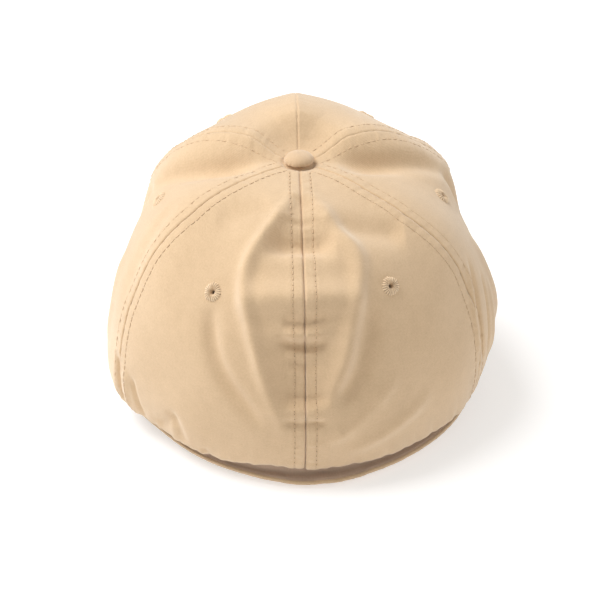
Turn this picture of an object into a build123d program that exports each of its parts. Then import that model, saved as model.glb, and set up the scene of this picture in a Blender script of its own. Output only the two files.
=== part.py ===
"""Six-panel baseball cap with a structured front, a closed stretch back and a curved visor.

Frame: +Z up, visor towards -Y, back of the crown towards +Y, wearer's left towards +X.
The cap stands as it would on a table: on the back of its sweatband and on both visor edges.
"""

import os
from math import atan2, cos, degrees, exp, hypot, pi, radians, sin, sqrt

from build123d import *

os.makedirs("parts", exist_ok=True)

# ---- driving dimensions, mm ----
HALF_WIDTH = 86.0  # hem ring, centre line to side
BACK_LENGTH = 90.0  # hem ring, button axis to back
FRONT_LENGTH = 103.5  # hem ring, button axis to front
BACK_OVAL = 1.95  # how square the ring is behind the button axis
FRONT_OVAL = 2.2  # and in front of it
TOP_HEIGHT = 114.5  # crown top under the button
FRONT_LIFT = 10.5  # structured front panels stand above the top
GABLE_LIFT = 7.0  # extra height along the front centre seam
SIDE_BULGE = 0.09  # sides swell past the ring by this share of its radius
BACK_BULGE = 0.055
PROFILE_BASE = 2.70  # squareness of the crown's upright profile
PROFILE_SIDE = 0.45
PROFILE_RIB = 0.28
SWELL_LOW = 2.57  # larger puts the widest level of the swell nearer the hem
SWELL_PEAK = SWELL_LOW**SWELL_LOW / (1.0 + SWELL_LOW) ** (1.0 + SWELL_LOW)
GABLE_SPREAD = 60.0  # degrees either side of the front centre seam
GABLE_SHARPNESS = 1.5
ARCH_SHIFT = 0.85  # below 1 moves the front's highest line away from the button
ARCH_START = (4.0, 27.0)  # radii between which the front begins to rise
CLIMB = (25.0, 118.0)  # degrees from the back between which the lower edges climb
LIP_TO_VISOR = (112.0, 124.0)  # degrees over which the band's edge meets the visor's height
HEM_TO_VISOR = (111.0, 118.5)
HEM_OVER_LIP = 3.4  # panels end this far above the band's lower edge
HEM_ARCH = 4.1  # and this much higher again at the centre of the back
HEM_ARCH_SPREAD = 28.0

FABRIC = 0.9  # twill panel
BUCKRAM_IN = 1.4  # depths below the panel's outer face
BUCKRAM_OUT = 1.9
TAPE_FRONT = 2.55
TAPE_BACK = 1.4
TAPE_THICK = 0.4
TAPE_HALF = 7.0
TAPE_START = 14.5  # diagonal tapes stop short of the centre tape
TAPE_HEM = 0.6  # tapes end above the panels' lower edge
CENTRE_TAPE_FLAT = 16.0  # the centre tape lies level inside this radius
BUCKRAM_START = 12.0
BUCKRAM_HEM = 0.4
ELASTIC_IN = 3.2
ELASTIC_OUT = 3.8
FACING_IN = 4.0
FACING_OUT = 4.8
BAND_HEIGHT = 30.0
BAND_SECTIONS = 19
ELASTIC_MARGIN = 3.0  # the elastic ends inside the facing's edges
LIP_UNDER_VISOR = 6.3  # the band reaches this far below the panels over the visor
TABLE_GAP = 0.2
FOOT_REACH = 6.6  # the band's rolled lower edge stands out this far at the back
FOOT_SPREAD = 52.0  # degrees over which it draws in
FOOT_THICK = 2.4
SEAM_GAP = 0.15  # half the gap between neighbouring panels
TOP_HOLE = 3.6  # radius left open under the button

BACK_SEAM = 62.0  # seam directions from the back, degrees
FRONT_SEAM = 120.0
EYELETS = {"back": (32.0, 0.55), "side": (91.0, 0.47), "front": (150.0, 0.44)}
EYELET_RADIUS = 4.1
EYELET_HOLE = 1.3
EYELET_CLEARANCE = 0.15
EYELET_PROUD = 0.45
EYELET_BEHIND = 0.25
EYELET_ROUNDING = 0.4
EYELET_CUT = 6.0

VISOR_RADIUS = 160.0  # bend across the visor
VISOR_TILT = 11.0  # nose-down angle, degrees
VISOR_ROOT_Z = 30.5  # middle layer at the front centre of the ring
VISOR_LENGTH = 72.0
VISOR_HALF = 86.0  # straight-line half width at the widest
VISOR_CORNER = 77.0  # half width where it meets the crown
VISOR_OVAL = 2.35
BOARD_HALF = 1.0  # half thickness of the stiff board
COVER_IN = 1.1
COVER_OUT = 1.9
COVER_LAP = 1.2  # cloth reaches past the board all round
HEM_CLEARANCE = 0.25
BOARD_INSET = -1.2  # the board stops short of the crown ring
COVER_INSET = 1.6  # the covers tuck under it
VISOR_CUT_BACK = 90.0  # the visor's section starts this far behind its root
VISOR_CUT_LENGTH = 180.0
VISOR_CUT_BELOW = 60.0
VISOR_CUT_HEIGHT = 70.0
LIP_RISE = 19.3  # the band's lower edge climbs this far towards the visor

BUTTON_RADIUS = 7.5
BUTTON_HEIGHT = 5.6
WASHER_RADIUS = 8.0
STEM_RADIUS = 1.2
STEM_CLEARANCE = 0.15
STEM_HOLE_IN_TAPE = STEM_RADIUS + 0.5
BUTTON_GAP = 0.25  # the button stands clear of the crown
BUTTON_RIM = 1.3  # level of the button's widest line
WASHER_DROP = 4.05
WASHER_THICK = 0.6

# ---- how finely curves are followed ----
PLANE_STEPS = 4
SLOPE_STEP = 0.004  # radians
EYELET_SLOPE_STEP = 0.02
CURVE_CROWDING = 1.4  # gathers a curve's points towards the top


# ---- crown shape ----
def smooth(x, lo, hi):
    u = min(max((x - lo) / (hi - lo), 0.0), 1.0)
    return u * u * (3.0 - 2.0 * u)


def from_back(az):
    """Direction as degrees away from the back, 0 to 180, the same on both sides."""
    return degrees(atan2(abs(sin(az)), cos(az)))


def ring_radius(az):
    """Radius of the hem ring in the direction az (0 = back, pi = front)."""
    n = BACK_OVAL if cos(az) > 0 else FRONT_OVAL
    length = BACK_LENGTH if cos(az) > 0 else FRONT_LENGTH
    total = (abs(sin(az)) / HALF_WIDTH) ** n + (abs(cos(az)) / length) ** n
    return total ** (-1.0 / n)


def visor_plane(x, y, off):
    """Distance along the visor and height of its surface over plan position x, y."""
    r = VISOR_RADIUS + off
    tilt = radians(VISOR_TILT)
    w = sqrt(max(r * r - x * x, 0.0)) - VISOR_RADIUS
    v = (-FRONT_LENGTH - w * sin(tilt) - y) / cos(tilt)
    return v, VISOR_ROOT_Z - v * sin(tilt) + w * cos(tilt)


def lip_height(az):
    """Lower edge of the sweatband: on the table at the back, lifted by the visor in front."""
    d = from_back(az)
    back = LIP_RISE * smooth(d, *CLIMB)
    front = hem_height(az, ring_radius(az)) - LIP_UNDER_VISOR
    w = smooth(d, *LIP_TO_VISOR)
    return back * (1.0 - w) + front * w + TABLE_GAP


def hem_height(az, radius):
    """Lower edge of the crown panels."""
    d = from_back(az)
    arch = HEM_ARCH * exp(-((d / HEM_ARCH_SPREAD) ** 2))
    back = LIP_RISE * smooth(d, *CLIMB) + HEM_OVER_LIP + arch
    front = visor_plane(radius * sin(az), radius * cos(az), COVER_OUT)[1]
    w = smooth(d, *HEM_TO_VISOR)
    return back * (1.0 - w) + (front + HEM_CLEARANCE) * w


def crown_point(az, beta, bulged=True):
    """Radius and height of the crown's outer face; beta runs from the hem (0) to the top."""
    d = from_back(az)
    front = smooth(-cos(az), -0.1, 0.75)
    back = smooth(cos(az), -0.1, 0.8)
    side = 1.0 - cos(2.0 * az)
    n = PROFILE_BASE + 0.5 * side * (PROFILE_SIDE + PROFILE_RIB * cos(6.0 * az))
    bulge = SIDE_BULGE * (1.0 - front) + (BACK_BULGE - SIDE_BULGE) * back
    size = (cos(beta) ** n + sin(beta) ** n) ** (-1.0 / n)
    rho = cos(beta) * size
    high = min(sin(beta) * size, 1.0)
    swell = bulge * high * (1.0 - high) ** SWELL_LOW / SWELL_PEAK if bulged else 0.0
    radius = ring_radius(az) * rho
    lift = FRONT_LIFT * smooth(-cos(az), 0.0, 0.6)
    lift = lift + GABLE_LIFT * max(0.0, 1.0 - (180.0 - d) / GABLE_SPREAD) ** GABLE_SHARPNESS
    arch = sin(pi * min(rho, 1.0) ** ARCH_SHIFT) * smooth(radius, *ARCH_START)
    hem = hem_height(az, ring_radius(az))
    return radius * (1.0 + swell), hem + (TOP_HEIGHT - hem) * high + lift * arch


def plane_point(az, shift, beta, bulged=True):
    """The same face cut by an upright plane moved sideways by shift from direction az."""
    s = crown_point(az, beta, bulged)[0]
    z = 0.0
    for _ in range(PLANE_STEPS):
        turn = az + atan2(shift, max(s, 0.1))
        radius, z = crown_point(turn, beta, bulged)
        s = sqrt(max(radius * radius - shift * shift, 0.01))
    return s, z


def inset_point(az, shift, beta, depth):
    """A point depth below the outer face, measured in the cutting plane."""
    low = plane_point(az, shift, max(beta - SLOPE_STEP, 0.0))
    high = plane_point(az, shift, min(beta + SLOPE_STEP, pi / 2.0))
    ds, dz = high[0] - low[0], high[1] - low[1]
    size = hypot(ds, dz)
    s, z = plane_point(az, shift, beta)
    return s - depth * dz / size, z + depth * ds / size


def top_angle(az, radius):
    return atan2(1.0, radius / ring_radius(az))


def meridian(az, shift):
    """Upright plane through the button axis, facing growing az, moved sideways by shift."""
    facing = Vector(cos(az), -sin(az), 0)
    return Plane(origin=facing * shift, x_dir=(sin(az), cos(az), 0), z_dir=facing)


def depth_profile(az, shift, top, bottom, depth, count):
    """Points of one upright curve at a depth under the outer face, from hem to top."""
    shares = [1.0 - (1.0 - i / (count - 1)) ** CURVE_CROWDING for i in range(count)]
    return [inset_point(az, shift, bottom + (top - bottom) * u, depth) for u in shares]


def layer_faces(az, shift, start, outer, inner, raise_hem=0.0, count=20):
    """Outer and inner curve of a cloth layer cut by an upright plane."""
    top = top_angle(az, hypot(start, shift))
    faces = []
    for depth in (outer, inner):
        points = depth_profile(az, shift, top, 0.0, depth, count)
        s, z = points[0]
        turn = az + atan2(shift, s)
        points[0] = (s, hem_height(turn, hypot(s, shift)) + raise_hem)
        faces.append(points)
    return faces


def panel_turns(first, last, count):
    """Directions of the sections of a panel, each with its sideways seam allowance."""
    turns = []
    for i in range(count):
        shift = SEAM_GAP if i == 0 else -SEAM_GAP if i == count - 1 else 0.0
        turns.append((radians(first + (last - first) * i / (count - 1)), shift))
    return turns


def eyelet_plane(kind, sign):
    """Plane on the crown's outer face at an eyelet, facing outwards."""
    az = radians(EYELETS[kind][0])
    beta = (1.0 - EYELETS[kind][1]) * pi / 2.0
    radius, z = crown_point(az, beta)
    step = EYELET_SLOPE_STEP
    low, high = crown_point(az, beta - step), crown_point(az, beta + step)
    side_a, side_b = crown_point(az - step, beta), crown_point(az + step, beta)
    up = Vector((high[0] - low[0]) * sin(az), (high[0] - low[0]) * cos(az), high[1] - low[1])
    along = Vector(
        side_b[0] * sin(az + step) - side_a[0] * sin(az - step),
        side_b[0] * cos(az + step) - side_a[0] * cos(az - step),
        side_b[1] - side_a[1],
    )
    out = up.cross(along).normalized()
    if out.Z < 0:
        out = out * -1
    x_dir = along.normalized()
    origin = Vector(sign * radius * sin(az), radius * cos(az), z)
    flip = Vector(sign * out.X, out.Y, out.Z)
    return Plane(origin=origin, x_dir=(sign * x_dir.X, x_dir.Y, x_dir.Z), z_dir=flip)


def save(builder, label):
    builder.part.label = label
    export_step(builder.part, f"parts/{label}.step")


def cloth_layer(label, turns, start, outer, inner, sign, eyelet=None, raise_hem=0.0):
    """One cloth piece following the crown, on the left (sign 1) or right (sign -1)."""
    with BuildPart() as layer:
        for az, shift in turns:
            face, back = layer_faces(az, shift, start, outer, inner, raise_hem)
            with BuildSketch(meridian(az, shift)):
                with BuildLine():
                    Spline(*face)
                    Line(face[-1], back[-1])
                    Spline(*back)
                    Line(back[0], face[0])
                make_face()
        loft()
        if sign < 0:
            mirror(about=Plane.YZ, mode=Mode.REPLACE)
        if eyelet:
            with BuildSketch(eyelet_plane(eyelet, sign)):
                Circle(EYELET_RADIUS + EYELET_CLEARANCE)
            extrude(amount=EYELET_CUT, both=True, mode=Mode.SUBTRACT)
    save(layer, label)


# ---- crown panels: one cloth piece each, pierced for its eyelet ----
PANELS = {
    "back": (0.0, BACK_SEAM, 8),
    "side": (BACK_SEAM, FRONT_SEAM, 8),
    "front": (FRONT_SEAM, 180.0, 9),
}
SIDES = {"left": 1, "right": -1}

for kind, (first, last, count) in PANELS.items():
    for side, sign in SIDES.items():
        turns = panel_turns(first, last, count)
        cloth_layer(f"{kind}_{side}_panel", turns, TOP_HOLE, 0.0, FABRIC, sign, kind)

# ---- stiff buckram behind the two front panels ----
for side, sign in SIDES.items():
    turns = panel_turns(FRONT_SEAM, 180.0, 9)
    name = f"front_{side}_buckram"
    cloth_layer(name, turns, BUCKRAM_START, BUCKRAM_IN, BUCKRAM_OUT, sign, "front", BUCKRAM_HEM)

# ---- seam tapes inside the crown: four short ones, then one from front to back ----
TAPES = {"front": (FRONT_SEAM, TAPE_FRONT), "back": (BACK_SEAM, TAPE_BACK)}

for kind, (seam, depth) in TAPES.items():
    for side, sign in SIDES.items():
        turns = [(radians(seam), TAPE_HALF * i / 2.0) for i in range(-2, 3)]
        name = f"{kind}_{side}_seam_tape"
        cloth_layer(name, turns, TAPE_START, depth, depth + TAPE_THICK, sign, None, TAPE_HEM)


def centre_face(extra):
    """Front-to-back curve of the centre tape, level with the crown at the tape's edges."""
    curve = []
    for az, depth in ((0.0, TAPE_BACK), (pi, TAPE_FRONT)):
        top = top_angle(az, CENTRE_TAPE_FLAT)
        points = depth_profile(az, TAPE_HALF, top, 0.0, depth + extra, 18)
        s, z = points[0]
        points[0] = (s, hem_height(az, s) + TAPE_HEM)
        curve.append(points)
    front = [(-s, z) for s, z in curve[1]]
    return curve[0] + [(0.0, TOP_HEIGHT - TAPE_FRONT - extra)] + front[::-1]


with BuildPart() as centre_tape:
    face = centre_face(0.0)
    back = centre_face(TAPE_THICK)
    with BuildSketch(meridian(0.0, 0.0)):
        with BuildLine():
            Spline(*face)
            Line(face[-1], back[-1])
            Spline(*back)
            Line(back[0], face[0])
        make_face()
    extrude(amount=TAPE_HALF, both=True)
    with BuildSketch():
        Circle(STEM_HOLE_IN_TAPE)
    extrude(amount=2.0 * TOP_HEIGHT, mode=Mode.SUBTRACT)
save(centre_tape, "centre_seam_tape")

# ---- embroidered eyelets: one raised thread ring per panel ----
for kind in EYELETS:
    depth = EYELET_BEHIND + (BUCKRAM_OUT if kind == "front" else FABRIC)
    for side, sign in SIDES.items():
        with BuildPart() as eyelet:
            with BuildSketch(eyelet_plane(kind, sign).offset(-depth)):
                Circle(EYELET_RADIUS)
                Circle(EYELET_HOLE, mode=Mode.SUBTRACT)
            extrude(amount=depth + EYELET_PROUD)
            fillet(eyelet.edges(), EYELET_ROUNDING)
        save(eyelet, f"eyelet_{kind}_{side}")

# ---- visor: stiff board between an upper and an under cover ----
TILT = radians(VISOR_TILT)
ROOT = (0, -FRONT_LENGTH, VISOR_ROOT_Z)
ACROSS = Plane(
    origin=(
        0,
        VISOR_CUT_BACK * cos(TILT) - FRONT_LENGTH,
        VISOR_ROOT_Z + VISOR_CUT_BACK * sin(TILT),
    ),
    x_dir=(1, 0, 0),
    z_dir=(0, -cos(TILT), -sin(TILT)),
)
FLAT = Plane(origin=ROOT, x_dir=(1, 0, 0), z_dir=(0, -sin(TILT), cos(TILT)))


def visor_outer(grow):
    """Free edge of the visor from its left corner round the tip to the right corner."""
    half = VISOR_HALF + grow
    length = VISOR_LENGTH + grow
    count = 14
    front = []
    for i in range(count + 1):
        a = pi / 2.0 * i / count
        x = half * cos(a) ** (2.0 / VISOR_OVAL)
        front.append((x, -length * sin(a) ** (2.0 / VISOR_OVAL)))
    corner = visor_plane(VISOR_CORNER, ring_y(VISOR_CORNER, 0.0), 0.0)[0]
    side = []
    for i in range(1, 4):
        share = i / 3.0
        x = half - (VISOR_HALF - VISOR_CORNER) * share**2
        side.append((x, -corner * share))
    left = side[::-1] + front
    return left, [(-x, y) for x, y in left[-2::-1]]


def ring_y(x, inset):
    """Front half of the hem ring, moved inwards by inset, at sideways position x."""
    share = min(x / (HALF_WIDTH - inset), 1.0)
    return -(FRONT_LENGTH - inset) * (1.0 - share**FRONT_OVAL) ** (1.0 / FRONT_OVAL)


def visor_inner(inset, half, count=9):
    """Edge along the crown from the right corner to the left one."""
    points = []
    for i in range(-count, count + 1):
        x = half * sin(pi / 2.0 * i / count)
        points.append((x, -visor_plane(x, ring_y(abs(x), inset), 0.0)[0]))
    return points


VISOR_LAYERS = {
    "visor_board": (-BOARD_HALF, BOARD_HALF, 0.0, BOARD_INSET),
    "visor_top_cover": (COVER_IN, COVER_OUT, COVER_LAP, COVER_INSET),
    "visor_under_cover": (-COVER_OUT, -COVER_IN, COVER_LAP, COVER_INSET),
}

for label, (low, high, grow, inset) in VISOR_LAYERS.items():
    with BuildPart() as visor:
        with BuildSketch(ACROSS):
            with Locations((0, -VISOR_RADIUS)):
                Circle(VISOR_RADIUS + high)
                Circle(VISOR_RADIUS + low, mode=Mode.SUBTRACT)
        extrude(amount=VISOR_CUT_LENGTH)
        left, right = visor_outer(grow)
        inner = visor_inner(inset, VISOR_CORNER + grow)
        with BuildSketch(FLAT.offset(-VISOR_CUT_BELOW)):
            with BuildLine():
                Spline(*left, *right)
                Line(right[-1], inner[0])
                Spline(*inner)
                Line(inner[-1], left[0])
            make_face()
        extrude(amount=VISOR_CUT_HEIGHT, mode=Mode.INTERSECT)
    save(visor, label)


# ---- sweatband: elastic inside a turned cloth facing whose lower edge rolls outwards ----
def band_radius(az, z, depth):
    """Inner cloth face of the band: follows the crown without its swell."""
    d = from_back(az)
    hem = hem_height(az, ring_radius(az))
    high = min(max((z - hem) / (TOP_HEIGHT - hem), 0.0), 1.0)
    n = PROFILE_BASE - 0.1
    return ring_radius(az) * (1.0 - high**n) ** (1.0 / n) - depth


def facing_outline(az):
    """Upright section of the facing, with the rolled foot under the crown's back hem."""
    low = lip_height(az)
    top = hem_height(az, ring_radius(az)) + BAND_HEIGHT
    reach = FOOT_REACH * exp(-((from_back(az) / FOOT_SPREAD) ** 2))
    wall = band_radius(az, low, FACING_IN)
    inside = band_radius(az, low, FACING_OUT)
    high_out, high_in = band_radius(az, top, FACING_IN), band_radius(az, top, FACING_OUT)
    return [
        (inside, low + 0.9),
        (inside + 0.7, low),
        (wall + reach, low),
        (wall + reach + 1.1, low + FOOT_THICK / 2.0),
        (wall + reach, low + FOOT_THICK),
        (wall, low + FOOT_THICK + 0.1),
        (high_out, top),
        (high_in, top),
    ]


def elastic_outline(az):
    """Upright section of the elastic behind the facing."""
    hem = hem_height(az, ring_radius(az))
    low = max(lip_height(az) + ELASTIC_MARGIN, hem)
    top = hem + BAND_HEIGHT - ELASTIC_MARGIN
    return [
        (band_radius(az, low, ELASTIC_OUT), low),
        (band_radius(az, low, ELASTIC_IN), low),
        (band_radius(az, top, ELASTIC_IN), top),
        (band_radius(az, top, ELASTIC_OUT), top),
    ]


BANDS = {"sweatband_facing": facing_outline, "sweatband_elastic": elastic_outline}

for label, outline in BANDS.items():
    with BuildPart() as band:
        for i in range(BAND_SECTIONS):
            az = pi * i / (BAND_SECTIONS - 1)
            with BuildSketch(meridian(az, 0.0)):
                with BuildLine():
                    Polyline(*outline(az), close=True)
                make_face()
        loft()
        mirror(about=Plane.YZ)
    save(band, label)

# ---- covered button on top, riveted through the crown to a washer ----
TOP = TOP_HEIGHT + BUTTON_GAP
RIM = TOP + BUTTON_RIM

with BuildPart() as button_cover:
    with BuildSketch(Plane.XZ):
        with BuildLine():
            Spline(
                (0, TOP + BUTTON_HEIGHT),
                (4.4, TOP + 4.6),
                (BUTTON_RADIUS, RIM),
                tangents=((1, 0), (0, -1)),
            )
            Line((BUTTON_RADIUS, RIM), (6.6, TOP))
            Line((6.6, TOP), (5.2, TOP))
            Line((5.2, TOP), (6.45, RIM))
            Spline(
                (6.45, RIM),
                (3.9, TOP + 3.9),
                (0, TOP + BUTTON_HEIGHT - 0.8),
                tangents=((0, 1), (-1, 0)),
            )
            Line((0, TOP + BUTTON_HEIGHT - 0.8), (0, TOP + BUTTON_HEIGHT))
        make_face()
    revolve(axis=Axis.Z)
save(button_cover, "button_cover")

with BuildPart() as button_shell:
    with BuildSketch(Plane.XZ):
        with BuildLine():
            Spline(
                (0, TOP + 4.6),
                (3.6, TOP + 3.6),
                (6.2, RIM),
                tangents=((1, 0), (0, -1)),
            )
            Polyline((6.2, RIM), (5.7, RIM))
            Spline(
                (5.7, RIM),
                (3.3, TOP + 3.1),
                (STEM_RADIUS, TOP + 4.0),
                tangents=((0, 1), (-1, 0.1)),
            )
            Polyline(
                (STEM_RADIUS, TOP + 4.0),
                (STEM_RADIUS, TOP - 4.2),
                (2.2, TOP - 4.2),
                (2.2, TOP - 4.9),
                (0, TOP - 4.9),
                (0, TOP + 4.6),
            )
        make_face()
    revolve(axis=Axis.Z)
save(button_shell, "button_shell")

with BuildPart() as washer:
    with BuildSketch(Plane.XY.offset(TOP - WASHER_DROP)):
        Circle(WASHER_RADIUS)
        Circle(STEM_RADIUS + STEM_CLEARANCE, mode=Mode.SUBTRACT)
    extrude(amount=WASHER_THICK)
save(washer, "button_washer")
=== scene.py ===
"""Baseball cap: the look of every piece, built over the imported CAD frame.

Sizes are in millimetres, in the row frame (+Z up, visor towards -Y, wearer's left +X),
and become metres only when a mesh is made. az is a direction round the button axis in
radians (0 = back, pi = front, positive = wearer's left). share is the distance from the
button (0) to the hem (1) along a panel.
"""

from math import cos, pi, radians, sin

import bpy
import numpy as np
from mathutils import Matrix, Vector


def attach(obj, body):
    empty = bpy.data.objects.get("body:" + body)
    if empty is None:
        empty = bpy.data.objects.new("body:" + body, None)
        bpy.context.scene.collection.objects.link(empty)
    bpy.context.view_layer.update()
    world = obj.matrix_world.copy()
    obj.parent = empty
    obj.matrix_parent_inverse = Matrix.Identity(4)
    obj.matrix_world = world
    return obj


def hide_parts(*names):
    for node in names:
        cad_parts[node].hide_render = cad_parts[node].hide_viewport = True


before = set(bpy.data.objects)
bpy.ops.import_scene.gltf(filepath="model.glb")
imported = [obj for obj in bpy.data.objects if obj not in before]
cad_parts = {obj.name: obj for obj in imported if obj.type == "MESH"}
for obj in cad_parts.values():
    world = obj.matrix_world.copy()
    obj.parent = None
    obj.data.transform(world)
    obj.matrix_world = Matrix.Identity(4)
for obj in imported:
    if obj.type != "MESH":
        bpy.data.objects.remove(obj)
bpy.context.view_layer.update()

MM = 0.001

# ---- driving dimensions, the same as the CAD pieces' ----
HALF_WIDTH = 86.0
BACK_LENGTH = 90.0
FRONT_LENGTH = 103.5
BACK_OVAL = 1.95
FRONT_OVAL = 2.2
TOP_HEIGHT = 114.5
FRONT_LIFT = 10.5
GABLE_LIFT = 7.0
SIDE_BULGE = 0.09
BACK_BULGE = 0.055
PROFILE_BASE = 2.70
PROFILE_SIDE = 0.45
PROFILE_RIB = 0.28
SWELL_LOW = 2.57
SWELL_PEAK = 0.1204
GABLE_SPREAD = 60.0
GABLE_SHARPNESS = 1.5
ARCH_SHIFT = 0.85
ARCH_START = (4.0, 27.0)
LIP_RISE = 19.3
LIP_UNDER_VISOR = 6.3
TABLE_GAP = 0.2
CLIMB = (25.0, 118.0)
LIP_TO_VISOR = (112.0, 124.0)
HEM_TO_VISOR = (111.0, 118.5)
HEM_OVER_LIP = 3.4
HEM_ARCH = 4.1
HEM_ARCH_SPREAD = 28.0
HEM_CLEARANCE = 0.25

BACK_SEAM = 62.0
FRONT_SEAM = 120.0
TAPE_HALF = 7.0

VISOR_RADIUS = 160.0
VISOR_TILT = radians(11.0)
VISOR_ROOT_Z = 30.5
VISOR_LENGTH = 72.0
VISOR_HALF = 86.0
VISOR_CORNER = 77.0
VISOR_OVAL = 2.35
COVER_OUT = 1.9

FACING_IN = 4.0
FACING_OUT = 4.8
ELASTIC_MARGIN = 3.0
BAND_HEIGHT = 30.0
BUTTON_HEIGHT = 5.6

# ---- dimensions that only the visible pieces have, or that differ from the CAD's ----
FABRIC = 0.75
ROW_OFFSET = 4.8
VISOR_ROWS = 8
VISOR_ROW_STEP = 7.0
BAND_PROFILE = 2.60
ELASTIC_DEPTH = 3.5
BUTTON_RADIUS = 6.9
BUTTON_SINK = 0.55
BUTTON_RIM = 1.35
STITCH_LENGTH = 2.3
STITCH_GAP = 0.7
STITCH_RADIUS = 0.24

# Degrees round and share down of every eyelet.
EYELETS = {
    "back_left": (32.0, 0.545),
    "back_right": (-31.0, 0.535),
    "side_left": (90.0, 0.47),
    "side_right": (-90.0, 0.48),
    "front_left": (150.0, 0.44),
    "front_right": (-150.0, 0.44),
}

rng = np.random.default_rng(11)


# ---- crown surface ----
def ramp(x, lo, hi):
    """Smooth step from 0 at lo to 1 at hi."""
    u = np.clip((x - lo) / (hi - lo), 0, 1)
    return u * u * (3 - 2 * u)


def hill(x, width):
    """Bell curve, 1 at x = 0."""
    return np.exp(-((x / width) ** 2))


def stacked(*parts):
    """Points from their coordinates, each of any shape that fits the others."""
    return np.stack(np.broadcast_arrays(*parts), axis=-1)


def around(radius, az, z):
    """Points at a radius and height in direction az."""
    return stacked(radius * np.sin(az), radius * np.cos(az), z)


def length_along(line):
    """Distance from the start of a polyline at each of its points."""
    return np.concatenate([[0.0], np.cumsum(np.linalg.norm(np.diff(line, axis=0), axis=1))])


def at_length(at, length, values):
    """Rows of values read off at places along a line."""
    return stacked(*(np.interp(at, length, column) for column in values.T))


def unit(vectors):
    """Vectors scaled to length 1."""
    return vectors / np.maximum(np.linalg.norm(vectors, axis=-1, keepdims=True), 1e-9)


def to_line(points, line):
    """Distance of points from a polyline, and how far along it they lie, from 0 to 1."""
    a = line[:-1]
    ab = line[1:] - a
    ap = points[:, None] - a
    u = np.clip((ap * ab).sum(-1) / (ab * ab).sum(-1), 0, 1)
    gap = np.linalg.norm(ap - u[..., None] * ab, axis=-1)
    nearest = gap.argmin(1)
    row = np.arange(len(points))
    return gap[row, nearest], (nearest + u[row, nearest]) / len(ab)


def turn_of(az):
    """Degrees from the back, from -180 to 180, positive on the wearer's left."""
    return np.degrees(np.arctan2(np.sin(az), np.cos(az)))


def from_back(az):
    """Degrees away from the back, the same on both sides."""
    return np.abs(turn_of(az))


def ring_radius(az):
    """Radius of the hem ring in direction az."""
    behind = np.cos(az) > 0
    n = np.where(behind, BACK_OVAL, FRONT_OVAL)
    length = np.where(behind, BACK_LENGTH, FRONT_LENGTH)
    side = (np.abs(np.sin(az)) / HALF_WIDTH) ** n
    along = (np.abs(np.cos(az)) / length) ** n
    return (side + along) ** (-1 / n)


def visor_bend(x, off):
    """Drop of the bent visor at sideways position x; off counts from its middle layer."""
    r = VISOR_RADIUS + off
    return np.sqrt(np.maximum(r * r - x * x, 0)) - VISOR_RADIUS


def to_visor(x, y, off):
    """Distance forward along the flat visor of a plan position."""
    return (-FRONT_LENGTH - visor_bend(x, off) * sin(VISOR_TILT) - y) / cos(VISOR_TILT)


def visor_height(x, y, off):
    """Height of the bent visor over plan position x, y."""
    v = to_visor(x, y, off)
    return VISOR_ROOT_Z - v * sin(VISOR_TILT) + visor_bend(x, off) * cos(VISOR_TILT)


def lip_height(az):
    """Lower edge of the sweatband."""
    d = from_back(az)
    front = hem_height(az) - LIP_UNDER_VISOR
    w = ramp(d, *LIP_TO_VISOR)
    return LIP_RISE * ramp(d, *CLIMB) * (1 - w) + front * w + TABLE_GAP


def hem_height(az):
    """Lower edge of the crown panels."""
    d = from_back(az)
    radius = ring_radius(az)
    back = LIP_RISE * ramp(d, *CLIMB) + HEM_OVER_LIP + HEM_ARCH * hill(d, HEM_ARCH_SPREAD)
    front = visor_height(radius * np.sin(az), radius * np.cos(az), COVER_OUT)
    w = ramp(d, *HEM_TO_VISOR)
    return back * (1 - w) + (front + HEM_CLEARANCE) * w


def crown_base(az, share):
    """Outer face of the smooth crown, as points in mm."""
    az, share = np.broadcast_arrays(az, share)
    beta = (1 - share) * pi / 2
    d = from_back(az)
    front = ramp(-np.cos(az), -0.1, 0.75)
    back = ramp(np.cos(az), -0.1, 0.8)
    side = 1 - np.cos(2 * az)
    n = PROFILE_BASE + 0.5 * side * (PROFILE_SIDE + PROFILE_RIB * np.cos(6 * az))
    bulge = SIDE_BULGE * (1 - front) + (BACK_BULGE - SIDE_BULGE) * back
    c, s = np.cos(beta), np.maximum(np.sin(beta), 0)
    size = (c**n + s**n) ** (-1 / n)
    rho = c * size
    high = np.minimum(s * size, 1)
    radius = ring_radius(az) * rho
    swell = bulge * high * (1 - high) ** SWELL_LOW / SWELL_PEAK
    lift = FRONT_LIFT * ramp(-np.cos(az), 0.0, 0.6)
    gable = np.maximum(0, 1 - (180.0 - d) / GABLE_SPREAD) ** GABLE_SHARPNESS
    lift = lift + GABLE_LIFT * gable
    arch = np.sin(pi * np.minimum(rho, 1) ** ARCH_SHIFT) * ramp(radius, *ARCH_START)
    hem = hem_height(az)
    return around(radius * (1 + swell), az, hem + (TOP_HEIGHT - hem) * high + lift * arch)


def plan_radius(az, share):
    """Distance of the smooth crown from the button axis."""
    point = crown_base(az, share)
    return np.hypot(point[..., 0], point[..., 1])


def surface_normal(point, az, share):
    """Outward normals of any surface function point(az, share)."""
    step = 0.004
    across = point(az + step, share) - point(az - step, share)
    down = point(az, np.minimum(share + step, 1)) - point(az, np.maximum(share - step, 0))
    n = unit(np.cross(down, across))
    outward = n[..., 2] + (n * crown_base(az, share) * [1, 1, 0]).sum(-1) / 60.0
    return n * np.where(outward < 0, -1, 1)[..., None]


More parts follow.
